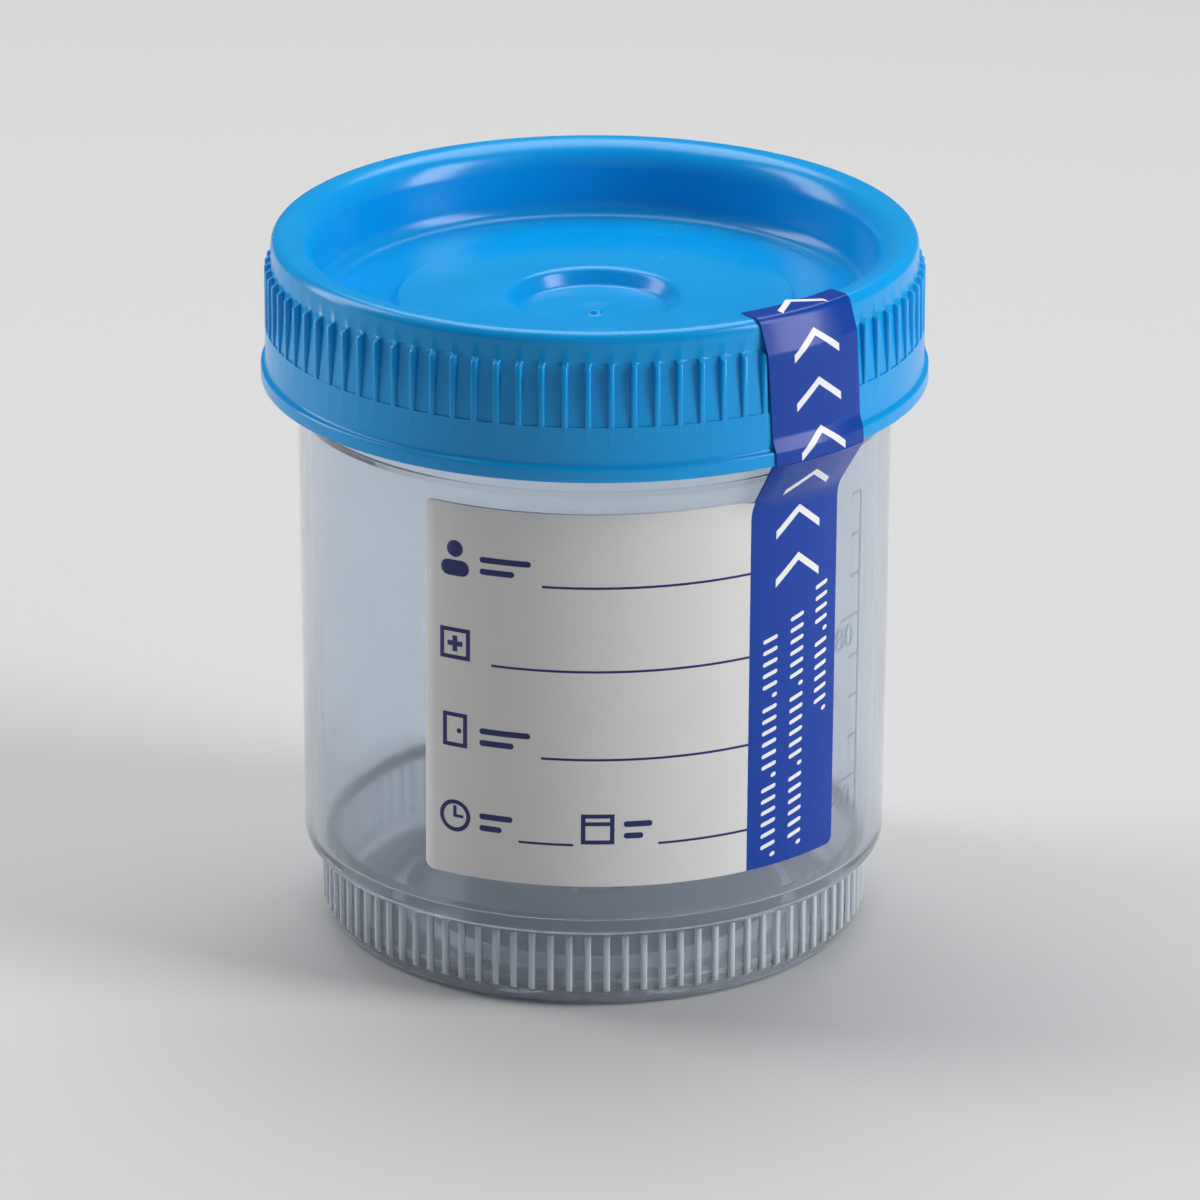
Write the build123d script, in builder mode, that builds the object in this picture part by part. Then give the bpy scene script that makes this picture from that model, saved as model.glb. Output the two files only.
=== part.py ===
"""Screw-cap specimen container, in millimetres.

A thin-walled moulded cup stands on a ribbed foot and carries a neck. A one-piece cap closes it:
its outer skirt turns on the neck, and its recessed centre is a plug that seals inside the neck.
A paper label is wrapped on the cup, and the tail of the label's side strip runs over the cap as a seal.

The origin is the centre of the standing face, with +Z up the container's axis and -Y at its front.
Angles about the axis are counted in degrees from the front, positive towards +X.
"""

import os
from math import cos, radians, sin

from build123d import *

# Cup: body, foot and floor
body_top_r = 28.9
body_low_r = 28.6
wall = 1.1
foot_ledge = 2.1
foot_height = 7.9
foot_edge_round = 1.3
body_corner_round = 1.3
step_wall = 1.6
floor_thickness = 1.1
floor_rise = 0.9
floor_step_r = 19.9
floor_corner_round = 2.2
gate_disc_r = 2.7
gate_disc_height = 0.35

# Cup: shoulder and neck
shoulder_z = 53.0
shoulder_height = 0.9
neck_r = 29.3
neck_wall = 0.95
neck_height = 14.7
neck_edge_round = 0.4

# Cap: skirt, rim and grip
thread_room = 1.05
skirt_wall = 1.0
cap_height = 14.3
cap_seat_gap = 0.3
crown_wall = 1.4
channel_chamfer = 0.6
rim_outer_round = 1.05
rim_crest_width = 0.1
lip_proud = 0.45
skirt_draft = 0.4
lip_height = 1.3
lip_edge_round = 0.25
band_height = 5.3
band_wall = 1.35
bore_slope = 1.0

# Cap: plug and recessed well
plug_gap = 0.2
plug_wall = 0.75
plug_taper = 0.6
plug_lead = 2.9
plug_tip_round = 0.8
well_depth = 7.3
well_draft = 0.45
well_corner_round = 1.8
panel_wall = 1.2
stack_gap = 0.3
plateau_slope = 0.5
recess_depth = 1.6
recess_r = 8.3
recess_slope = 1.0
recess_round = 1.0
gate_dish_r = 2.5
gate_dish_depth = 0.35
gate_r = 0.55
gate_height = 0.45

# Grip ribs, one count for the cap and the foot
rib_count = 92
rib_phase = -1.2
cap_rib_proud = 0.65
cap_rib_width = 0.6
cap_rib_margin = 3.3
cap_rib_run_out = 0.6
foot_rib_proud = 0.45
foot_rib_width = 0.5
foot_rib_low = 1.9
foot_rib_margin = 0.5
foot_rib_run_out = 0.35
rib_chamfer = 0.13
rib_root = 0.35

# Label and its seal tail
paper = 0.15
glue_gap = 0.05
label_foot_margin = 5.7
label_top_margin = 1.4
label_left = -33.7
label_corner_round = 0.8
strip_angle = 41.8
strip_width = 11.2
strip_reach = 20.0
strip_lift_drop = 1.0
strip_bend_round = 4.0
panel_tuck = 10.0
seal_break = 0.2
tail_lean_height = 2.6
tail_lip_round = 0.4
tail_bend_round = 1.5
tail_end_round = 0.8
tail_reach = 2.65
tail_end_drop = 0.05
slab_margin = 10.0

# Heights and radii that follow from the sizes above
foot_r = body_low_r - foot_ledge
shoulder_top = shoulder_z + shoulder_height
neck_top = shoulder_top + neck_height
neck_bore_r = neck_r - neck_wall
channel_top = neck_top + cap_seat_gap
rim_top = channel_top + crown_wall
skirt_bottom = rim_top - cap_height
skirt_bore_r = neck_r + thread_room
skirt_r = skirt_bore_r + skirt_wall
band_r = skirt_r + cap_rib_proud
band_top = skirt_bottom + band_height
lip_r = band_r + lip_proud
plug_r = neck_bore_r - plug_gap
well_r = plug_r - plug_wall
well_floor = rim_top - well_depth
well_floor_r = well_r - well_draft
rim_inner_round = skirt_r - rim_outer_round - rim_crest_width - well_r
plateau_rise = floor_rise - stack_gap / 2
plateau_foot_r = floor_step_r - stack_gap
plateau_top = well_floor + plateau_rise
recess_floor = plateau_top - recess_depth
gate_floor = recess_floor - gate_dish_depth
cap_rib_top = rim_top - cap_rib_margin
foot_rib_top = foot_height - foot_rib_margin
label_low = foot_height + label_foot_margin
label_top = shoulder_z - label_top_margin
strip_lift = label_top - strip_lift_drop


def body_r(height):
    """Outer radius of the cup's slightly tapered wall at a height."""
    share = (height - foot_height) / (shoulder_z - foot_height)
    return body_low_r + (body_top_r - body_low_r) * share


def radial_plane(angle):
    """Plane through the axis: its x points outwards at an angle from the front, its y points up."""
    turn = radians(angle - 90)
    return Plane(origin=(0, 0, 0), x_dir=(cos(turn), sin(turn), 0), z_dir=(sin(turn), -cos(turn), 0))


def grip_rib(root_r, proud, width, low, high, run_out_low, run_out_high):
    """One upright grip rib on the +X side, whose ends run out onto the wall that it stands on."""
    with BuildPart() as rib:
        with BuildSketch(Plane.XZ):
            with BuildLine():
                Polyline(
                    (root_r - rib_root, low - run_out_low),
                    (root_r, low - run_out_low),
                    (root_r + proud, low),
                    (root_r + proud, high),
                    (root_r, high + run_out_high),
                    (root_r - rib_root, high + run_out_high),
                    close=True,
                )
            make_face()
        extrude(amount=width / 2, both=True)
        chamfer(rib.edges().filter_by(Axis.Z).group_by(Axis.X)[-1], length=rib_chamfer)
    return rib.part


# Cup: one moulding, from the standing ring up the outside to the neck and down the inside
foot_rib = grip_rib(
    foot_r,
    foot_rib_proud,
    foot_rib_width,
    foot_rib_low,
    foot_rib_top,
    foot_rib_run_out,
    foot_rib_run_out,
)

cup_outline = [
    (0, floor_rise, 0),
    (floor_step_r - floor_rise, floor_rise, 0),
    (floor_step_r, 0, 0),
    (foot_r, 0, foot_edge_round),
    (foot_r, foot_height, 0),
    (body_low_r, foot_height, body_corner_round),
    (body_top_r, shoulder_z, neck_edge_round),
    (neck_r, shoulder_top, neck_edge_round),
    (neck_r, neck_top, neck_edge_round),
    (neck_bore_r, neck_top, neck_edge_round),
    (neck_bore_r, shoulder_top, 0),
    (body_top_r - wall, shoulder_z, 0),
    (body_low_r - wall, foot_height + step_wall, 0),
    (foot_r - wall, foot_height + step_wall, 0),
    (foot_r - wall, floor_thickness, floor_corner_round),
    (floor_step_r, floor_thickness, 0),
    (floor_step_r - floor_rise, floor_thickness + floor_rise, 0),
    (gate_disc_r + gate_disc_height, floor_thickness + floor_rise, 0),
    (gate_disc_r, floor_thickness + floor_rise + gate_disc_height, 0),
    (0, floor_thickness + floor_rise + gate_disc_height, 0),
]

with BuildPart() as cup:
    with BuildSketch(Plane.XZ) as cup_section:
        with BuildLine():
            FilletPolyline(
                [(r, z) for r, z, rounding in cup_outline],
                radius=[rounding for r, z, rounding in cup_outline],
                close=True,
            )
        make_face()
    revolve(axis=Axis.Z)
    with PolarLocations(0, rib_count, start_angle=rib_phase - 90):
        add(foot_rib)
cup.part.label = "cup"

# Cap: one moulding, from the centre of its underside out to the lip, over the rim and into the well
cap_rib = grip_rib(
    skirt_r,
    cap_rib_proud,
    cap_rib_width,
    band_top,
    cap_rib_top,
    0,
    cap_rib_run_out,
)

cap_outline = [
    (0, recess_floor - panel_wall, 0),
    (recess_r, recess_floor - panel_wall, 0),
    (recess_r + recess_slope, plateau_top - panel_wall, 0),
    (plateau_foot_r - plateau_slope - plateau_rise, plateau_top - panel_wall, 0),
    (plateau_foot_r - plateau_slope, well_floor - panel_wall, 0),
    (plug_r - plug_taper, well_floor - panel_wall, plug_tip_round),
    (plug_r, channel_top - plug_lead, 0),
    (plug_r, channel_top - channel_chamfer, 0),
    (plug_r + channel_chamfer, channel_top, 0),
    (skirt_bore_r - channel_chamfer, channel_top, 0),
    (skirt_bore_r, channel_top - channel_chamfer, 0),
    (skirt_bore_r, band_top, 0),
    (band_r - band_wall, band_top - bore_slope, 0),
    (band_r - band_wall, skirt_bottom, 0),
    (lip_r, skirt_bottom, 0),
    (lip_r, skirt_bottom + lip_height, lip_edge_round),
    (band_r, skirt_bottom + lip_height + lip_edge_round, 0),
    (band_r, band_top, 0),
    (skirt_r + skirt_draft, band_top, 0),
    (skirt_r, cap_rib_top + cap_rib_run_out, 0),
    (skirt_r, rim_top, rim_outer_round),
    (well_r, rim_top, rim_inner_round),
    (well_floor_r, well_floor, well_corner_round),
    (plateau_foot_r, well_floor, 0),
    (plateau_foot_r - plateau_slope, plateau_top, 0),
    (recess_r, plateau_top, recess_round),
    (recess_r - recess_slope, recess_floor, 0),
    (gate_dish_r, recess_floor, 0),
    (gate_r, gate_floor, 0),
    (gate_r, gate_floor + gate_height, 0),
    (0, gate_floor + gate_height, 0),
]

with BuildPart() as screw_cap:
    with BuildSketch(Plane.XZ) as cap_section:
        with BuildLine():
            FilletPolyline(
                [(r, z) for r, z, rounding in cap_outline],
                radius=[rounding for r, z, rounding in cap_outline],
                close=True,
            )
        make_face()
    revolve(axis=Axis.Z)
    with PolarLocations(0, rib_count, start_angle=rib_phase - 90):
        add(cap_rib)
screw_cap.part.label = "screw_cap"


def strip(outline, roundings):
    """Stretch of the label's side strip: a paper line of constant width, bent round the container."""
    with BuildPart() as piece:
        with BuildSketch(radial_plane(strip_angle - strip_reach)):
            with BuildLine():
                FilletPolyline(outline, radius=roundings)
            trace(line_width=paper)
        revolve(axis=Axis.Z, revolution_arc=2 * strip_reach)
        with BuildSketch(radial_plane(strip_angle)):
            with Locations((lip_r / 2, rim_top / 2)):
                Rectangle(lip_r + slab_margin, rim_top + slab_margin)
        extrude(amount=strip_width / 2, both=True, mode=Mode.INTERSECT)
    return piece.part


# Label: one sheet with a front panel and a side strip, whose top leans out to the edge of the cap
sheet_off = glue_gap + paper / 2
lean_r = lip_r + sheet_off
lower_strip = strip(
    [
        (body_r(label_low) + sheet_off, label_low),
        (body_r(strip_lift) + sheet_off, strip_lift),
        (lean_r, skirt_bottom - seal_break),
    ],
    [strip_bend_round],
)

with BuildPart() as label:
    with BuildSketch(radial_plane(label_left)) as panel_section:
        with BuildLine():
            Line(
                (body_r(label_low) + sheet_off, label_low),
                (body_r(label_top) + sheet_off, label_top),
            )
        trace(line_width=paper)
    revolve(axis=Axis.Z, revolution_arc=strip_angle - panel_tuck - label_left)
    panel_corners = label.edges().filter_by(lambda edge: edge.length < 2 * paper).sort_by(Axis.X)[:2]
    fillet(panel_corners, radius=label_corner_round)
    add(lower_strip)
label.part.label = "label"

# Seal tail: from the cap's lip up its side, over the rim and into the mouth of the well
tail_top = rim_top + sheet_off
seal_tail_part = strip(
    [
        (lean_r, skirt_bottom),
        (lean_r, skirt_bottom + lip_height),
        (band_r + sheet_off, skirt_bottom + tail_lean_height),
        (band_r + sheet_off, cap_rib_top),
        (skirt_r - paper, tail_top),
        (skirt_r - tail_reach, tail_top - tail_end_drop),
    ],
    [tail_lip_round, tail_bend_round, tail_bend_round, tail_end_round],
)

with BuildPart() as seal_tail:
    add(seal_tail_part)
seal_tail.part.label = "seal_tail"

os.makedirs("parts", exist_ok=True)
export_step(cup.part, "parts/cup.step")
export_step(screw_cap.part, "parts/screw_cap.step")
export_step(label.part, "parts/label.step")
export_step(seal_tail.part, "parts/seal_tail.step")
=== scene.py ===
"""Screw-cap specimen container: dressed pieces around the packed frame, in metres.

The origin is the centre of the standing face, with +Z up the container's axis and -Y at its front.
Angles about the axis are counted in radians from the front, positive towards +X.
"""

from math import asin, atan2, ceil, cos, pi, radians, sin, tan
from types import SimpleNamespace

import bmesh
import bpy
from bpy.props import FloatProperty, FloatVectorProperty, IntProperty, PointerProperty
from mathutils import Matrix, Vector


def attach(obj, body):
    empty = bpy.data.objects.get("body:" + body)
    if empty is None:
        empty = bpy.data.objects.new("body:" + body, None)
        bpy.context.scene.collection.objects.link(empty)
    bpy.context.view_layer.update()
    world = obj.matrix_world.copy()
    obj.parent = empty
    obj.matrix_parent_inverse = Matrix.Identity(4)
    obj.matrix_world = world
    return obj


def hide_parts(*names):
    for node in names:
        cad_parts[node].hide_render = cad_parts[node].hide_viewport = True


bl_info = {
    "name": "Specimen container",
    "version": (1, 0, 0),
    "blender": (4, 5, 0),
    "location": "3D view > Sidebar > Specimen",
    "description": "Builds a screw-cap specimen container with its label and seal",
    "category": "Object",
}

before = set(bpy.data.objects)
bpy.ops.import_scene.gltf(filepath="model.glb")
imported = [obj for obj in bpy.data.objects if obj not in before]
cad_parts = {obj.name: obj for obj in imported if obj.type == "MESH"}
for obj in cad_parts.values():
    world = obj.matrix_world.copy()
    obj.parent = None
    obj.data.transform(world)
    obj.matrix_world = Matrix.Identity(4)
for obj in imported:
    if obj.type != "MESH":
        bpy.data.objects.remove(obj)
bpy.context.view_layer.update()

ARC_STEP = radians(12)
TINY = 1e-6
SHARP, SHEET_SHARP, RIB_SHARP = radians(32), radians(50), radians(72)


def mm(value):
    return value / 1000


PRINT_SINK = mm(0.02)


def length(value, description):
    return FloatProperty(description=description, default=mm(value), min=0, unit="LENGTH", precision=5)


def turn(value, description):
    return FloatProperty(description=description, default=radians(value), subtype="ANGLE")


def tint(value, description):
    return FloatVectorProperty(description=description, default=(*value, 1), size=4, min=0, max=1, subtype="COLOR")


def share(value, description):
    return FloatProperty(description=description, default=value, min=0, max=1, subtype="FACTOR")


def number(value, description, low=1):
    return IntProperty(description=description, default=value, min=low)


def power(value, description):
    return FloatProperty(description=description, default=value, unit="POWER")


class CupSizes(bpy.types.PropertyGroup):
    """Sizes of the moulded cup"""

    body_top_r: length(28.9, "Outside of the wall under the shoulder")
    body_low_r: length(28.6, "Outside of the wall above the foot")
    wall: length(1.1, "Thickness of the cup's wall")
    foot_ledge: length(2.1, "Step in from the body to the foot")
    foot_height: length(7.9, "Height of the ribbed foot")
    foot_edge_round: length(1.3, "Rounding of the foot's lower edge")
    body_corner_round: length(1.3, "Rounding where the body turns in to the foot")
    step_wall: length(1.6, "Thickness of the step between the body and the foot")
    floor_thickness: length(1.1, "Thickness of the floor")
    floor_rise: length(0.9, "Height of the floor's middle above the standing ring")
    floor_step_r: length(19.9, "Inner radius of the standing ring")
    floor_corner_round: length(2.2, "Rounding inside, where the floor meets the foot")
    gate_disc_r: length(2.7, "Raised disc at the middle of the floor, over the gate")
    gate_disc_height: length(0.35, "Height of that disc")
    shoulder_z: length(53.0, "Height at which the wall turns out to the neck")
    shoulder_height: length(0.9, "Height of the shoulder's slope")
    neck_r: length(29.3, "Outside of the neck")
    neck_wall: length(0.95, "Thickness of the neck")
    neck_height: length(14.7, "Height of the neck above the shoulder")
    edge_round: length(0.4, "Rounding of the neck's and the shoulder's edges")
    thread_pitch: length(4.0, "Rise of the thread in one turn")
    thread_low: length(57.6, "Height at which the neck's thread starts")
    thread_proud: length(0.7, "How far the neck's thread stands out")
    thread_width: length(1.5, "Width of the thread at its foot")
    thread_turns: FloatProperty(description="Turns of the thread", default=1.6, min=0.5, max=3)
    foot_rib_proud: length(0.45, "How far the foot's ribs stand out")
    foot_rib_low: length(1.9, "Height at which the foot's ribs start")
    foot_rib_margin: length(0.5, "Gap from the ribs' top to the foot's top")
    mark_angle: turn(62, "Place of the graduations round the body")
    mark_pitch: length(4.18, "Rise of the level for 10 ml")
    mark_low: length(15.1, "Height of the lowest graduation")
    mark_width: length(0.26, "Width of a graduation's line")
    mark_count: number(9, "Number of graduations")
    mark_long_every: number(4, "One graduation in so many is long")
    mark_first_long: number(1, "Graduations below the first long one", 0)


class CapSizes(bpy.types.PropertyGroup):
    """Sizes of the one-piece screw cap"""

    thread_room: length(1.05, "Gap between the neck and the skirt")
    skirt_wall: length(1.0, "Thickness of the skirt behind the ribs")
    cap_height: length(14.3, "Height of the cap")
    cap_seat_gap: length(0.3, "Gap over the neck's top")
    crown_wall: length(1.4, "Thickness of the rim over the neck")
    channel_chamfer: length(0.6, "Chamfers in the channel that takes the neck")
    rim_outer_round: length(1.05, "Rounding of the rim's outer edge")
    rim_crest_width: length(0.1, "Flat crest between the rim's two roundings")
    lip_proud: length(0.45, "How far the lip stands out from the band")
    lip_height: length(1.3, "Height of the lip")
    lip_edge_round: length(0.25, "Rounding of the lip's upper edge")
    skirt_draft: length(0.5, "How far the skirt widens down to the band")
    band_height: length(5.3, "Height of the plain band below the ribs")
    band_wall: length(1.35, "Thickness of the band")
    bore_slope: length(1.0, "Height of the slope from the band's inside to the skirt's")
    plug_gap: length(0.2, "Gap between the plug and the neck's bore")
    plug_wall: length(0.75, "Thickness of the plug's wall")
    plug_taper: length(0.6, "How far the plug's tip draws in")
    plug_lead: length(2.9, "Straight length of the plug")
    plug_tip_round: length(0.8, "Rounding of the plug's tip")
    well_depth: length(7.3, "Depth of the well below the rim")
    well_draft: length(0.45, "How far the well draws in at its floor")
    well_corner_round: length(1.8, "Rounding at the foot of the well's wall")
    panel_wall: length(1.2, "Thickness of the well's floor")
    stack_gap: length(0.3, "Play between stacked containers")
    plateau_slope: length(0.5, "Width of the slope round the raised middle")
    recess_depth: length(1.6, "Depth of the centre recess")
    recess_r: length(8.3, "Radius of the centre recess at its mouth")
    recess_slope: length(1.0, "Width of the recess's sloping side")
    recess_round: length(1.0, "Rounding of the recess's mouth")
    gate_r: length(0.55, "Radius of the nub left at the gate")
    gate_height: length(0.45, "Height of that nub")
    gate_dish_r: length(2.5, "Radius of the shallow dish round the gate")
    gate_dish_depth: length(0.35, "Depth of that dish")
    cap_rib_proud: length(0.65, "How far the cap's ribs stand out")
    cap_rib_margin: length(3.3, "Gap from the ribs' top to the rim")
    cap_rib_run_out: length(0.6, "Height over which the ribs fade out")
    rib_count: number(92, "Ribs round the cap, and round the foot", 12)
    rib_phase: turn(-1.2, "Angle of the rib next to the front")


class LabelSizes(bpy.types.PropertyGroup):
    """Sizes of the label, its strip and its seal tail"""

    paper: length(0.15, "Thickness of the paper")
    glue_gap: length(0.05, "Gap under the paper")
    foot_margin: length(5.7, "Gap from the foot to the label")
    top_margin: length(1.4, "Gap from the label to the shoulder")
    panel_left: turn(-33.7, "Angle of the writing panel's left edge")
    corner_round: length(0.8, "Rounding of the label's corners")
    strip_angle: turn(41.8, "Angle of the strip's middle line")
    tail_drift: turn(2.0, "How far the tail drifts back towards the front up to the rim")
    strip_width: length(11.2, "Width of the strip")
    lift_drop: length(1.0, "Gap from the label's top to where the strip leaves the wall")
    bend_round: length(4.0, "Rounding where the strip leaves the wall")
    seal_break: length(0.04, "Gap between the strip and the seal tail")
    tail_lean_height: length(2.6, "Height above the lip's edge where the tail meets the ribs")
    tail_reach: length(2.65, "How far the tail goes over the rim")
    tail_end_drop: length(0.05, "How far the tail's end turns down")
    line_width: length(0.24, "Width of the writing lines")
    ink: length(0.012, "Thickness of the print")


class Finishes(bpy.types.PropertyGroup):
    """Colours and finishes"""

    cup_tint: tint((0.82, 0.88, 0.95), "Natural moulded plastic of the cup")
    cup_clear: share(0.9, "Share of the light that passes the cup's plastic")
    # Painted glow: the foot is whitened low down, fading out by its top, partly for the haze of the plastic and
    # partly as painted light where the foot lies in shade.
    foot_milk: share(0.17, "What the thicker plastic of the foot takes from that share")
    # Painted highlight: the foot's ribs are whitened, partly for the haze of the thicker ribs and partly to show the
    # lamps' light along their edges.
    rib_milk: share(0.4, "What the foot's ribs take from it")
    # Painted highlight: the floor's step is whitened to show a bright band of light on it.
    step_milk: share(0.7, "What the step of the floor takes from it")
    cup_gloss: share(0.06, "Roughness of the cup's surface")
    cap_tint: tint((0.0, 0.33, 0.76), "Moulded plastic of the cap")
    paper_tint: tint((0.74, 0.73, 0.725), "Coated label paper")
    edge_tint: tint((0.8, 0.8, 0.79), "Edges and back of the paper")
    strip_tint: tint((0.001, 0.05, 0.35), "Printed strip and seal tail")
    ink_tint: tint((0.012, 0.02, 0.14), "Print on the writing panel")
    print_tint: tint((0.86, 0.86, 0.88), "Print on the strip")


class StudioSetup(bpy.types.PropertyGroup):
    """Floor, lamps and camera"""

    floor_tint: tint((0.62, 0.62, 0.625), "Plain studio floor")
    world_level: FloatProperty(description="Brightness of the surround", default=0.1, min=0)
    left_power: power(4.9, "Power of the left softbox")
    right_power: power(7.7, "Power of the right softbox")
    top_power: power(3.4, "Power of the overhead softbox")
    front_power: power(0.14, "Power of the front fill")
    lens: FloatProperty(description="Focal length in millimetres", default=240, min=20)


def plan():
    """Every size of the container by name, with the heights and radii that follow from them."""
    scene = bpy.context.scene
    p = SimpleNamespace()
    for group in (scene.specimen_cup, scene.specimen_cap, scene.specimen_label):
        for key in type(group).__annotations__:
            setattr(p, key, getattr(group, key))
    p.foot_r = p.body_low_r - p.foot_ledge
    p.shoulder_top = p.shoulder_z + p.shoulder_height
    p.neck_top = p.shoulder_top + p.neck_height
    p.neck_bore_r = p.neck_r - p.neck_wall
    p.channel_top = p.neck_top + p.cap_seat_gap
    p.rim_top = p.channel_top + p.crown_wall
    p.skirt_bottom = p.rim_top - p.cap_height
    p.skirt_bore_r = p.neck_r + p.thread_room
    p.skirt_r = p.skirt_bore_r + p.skirt_wall
    p.band_r = p.skirt_r + p.cap_rib_proud
    p.band_top = p.skirt_bottom + p.band_height
    p.lip_r = p.band_r + p.lip_proud
    p.plug_r = p.neck_bore_r - p.plug_gap
    p.well_r = p.plug_r - p.plug_wall
    p.well_floor = p.rim_top - p.well_depth
    p.well_floor_r = p.well_r - p.well_draft
    p.rim_inner_round = p.skirt_r - p.rim_outer_round - p.rim_crest_width - p.well_r
    p.plateau_rise = p.floor_rise - p.stack_gap / 2
    p.plateau_foot_r = p.floor_step_r - p.stack_gap
    p.plateau_top = p.well_floor + p.plateau_rise
    p.recess_floor = p.plateau_top - p.recess_depth
    p.gate_floor = p.recess_floor - p.gate_dish_depth
    p.cap_rib_top = p.rim_top - p.cap_rib_margin
    p.foot_rib_top = p.foot_height - p.foot_rib_margin
    p.label_low = p.foot_height + p.foot_margin
    p.label_top = p.shoulder_z - p.top_margin
    p.sheet_off = p.glue_gap + p.paper / 2
    p.lean_r = p.lip_r + p.sheet_off
    return p


def body_r(p, height):
    """Outer radius of the cup's slightly tapered wall at a height."""
    part = (height - p.foot_height) / (p.shoulder_z - p.foot_height)
    return p.body_low_r + (p.body_top_r - p.body_low_r) * part


# Outlines and meshes


def rounded(corners, closed=False, arc_step=ARC_STEP):
    """Points of a line through corners (across, up, rounding), with each corner rounded off."""
    points, count = [], len(corners)
    for i, (across, up, radius) in enumerate(corners):
        here = Vector((across, up))
        if radius <= 0 or (not closed and i in (0, count - 1)):
            points.append(here)
            continue
        back = (Vector(corners[i - 1][:2]) - here).normalized()
        ahead = (Vector(corners[(i + 1) % count][:2]) - here).normalized()
        opening = back.angle(ahead)
        if pi - opening < 1e-3:
            points.append(here)
            continue
        centre = here + (back + ahead).normalized() * (radius / sin(opening / 2))
        spoke = here + back * (radius / tan(opening / 2)) - centre
        way = 1 if back.cross(ahead) < 0 else -1
        steps = max(2, ceil((pi - opening) / arc_step))
        for k in range(steps + 1):
            points.append(centre + Matrix.Rotation(way * (pi - opening) * k / steps, 2) @ spoke)
    return points


def at(angle, radius, height):
    """Point at an angle from the front, a radius and a height."""
    return (radius * sin(angle), -radius * cos(angle), height)


def tidy_mesh(mesh, name, sharp=SHARP):
    """Closes doubled points, turns all faces outwards and shades smooth up to sharp edges."""
    work = bmesh.new()
    work.from_mesh(mesh)
    bmesh.ops.remove_doubles(work, verts=work.verts, dist=TINY)
    bmesh.ops.dissolve_degenerate(work, edges=work.edges, dist=TINY)
    bmesh.ops.recalc_face_normals(work, faces=work.faces)
    work.to_mesh(mesh)
    work.free()
    mesh.name = name
    mesh.shade_smooth()
    mesh.set_sharp_from_angle(angle=sharp)
    return mesh


def add_object(name, data):
    """Links a new object that holds a mesh, a curve, a lamp or a camera."""
    made = bpy.data.objects.new(name, data)
    bpy.context.scene.collection.objects.link(made)
    return made


def applied(held):
    """Mesh that an object evaluates to; the object itself goes."""
    bpy.context.view_layer.update()
    graph = bpy.context.evaluated_depsgraph_get()
    mesh = bpy.data.meshes.new_from_object(held.evaluated_get(graph), depsgraph=graph)
    bpy.data.objects.remove(held)
    return mesh


def place(name, mesh, body, slot, *materials, replaces=()):
    """Makes a finished mesh a piece that rides on a body, in the given finishes; the slot is not used."""
    for index, material in enumerate(materials):
        if index < len(mesh.materials):
            mesh.materials[index] = material
        else:
            mesh.materials.append(material)
    piece = add_object(name, mesh)
    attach(piece, body)
    if replaces:
        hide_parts(*replaces)
    return piece


def rib_columns(count, phase, root_r, offsets):
    """Angles of a turned mesh's columns: one midway between two ribs, then those across each rib."""
    pitch = 2 * pi / count
    angles = []
    for k in range(count):
        rib = phase + k * pitch
        angles += [rib - pitch / 2, *(rib + offset / root_r for offset in offsets)]
    return angles


def turned(name, outline, angles, fine=None, stride=1):
    """Closed mesh of an outline turned about the axis; only each stride-th column is kept where not fine."""
    vertices, rings, faces = [], [], []
    for radius, height in outline:
        start = len(vertices)
        if radius < TINY:
            vertices.append((0, 0, height))
        else:
            kept = angles if fine is None or fine(radius, height) else angles[::stride]
            vertices += [at(angle, radius, height) for angle in kept]
        rings.append(range(start, len(vertices)))
    for low, high in zip(rings, rings[1:]):
        steps = max(len(low), len(high))
        for k in range(steps):
            corners = [
                low[k * len(low) // steps],
                low[(k + 1) * len(low) // steps % len(low)],
                high[(k + 1) * len(high) // steps % len(high)],
                high[k * len(high) // steps],
            ]
            corners = list(dict.fromkeys(corners))
            if len(corners) > 2:
                faces.append(corners)
    mesh = bpy.data.meshes.new(name)
    mesh.from_pydata(vertices, [], faces)
    return mesh


# Geometry node trees


def add_node(tree, kind, feeds=(), **settings):
    """Adds a node to a tree; feeds are numbers or sockets for its inputs, in order or by name."""
    made = tree.nodes.new(kind)
    made.location = (190 * (len(tree.nodes) % 12), -240 * (len(tree.nodes) // 12))
    for key, value in settings.items():
        setattr(made, key, value)
    for key, value in feeds.items() if isinstance(feeds, dict) else enumerate(feeds):
        if isinstance(value, bpy.types.NodeSocket):
            tree.links.new(value, made.inputs[key])
        else:
            made.inputs[key].default_value = value
    return made


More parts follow.
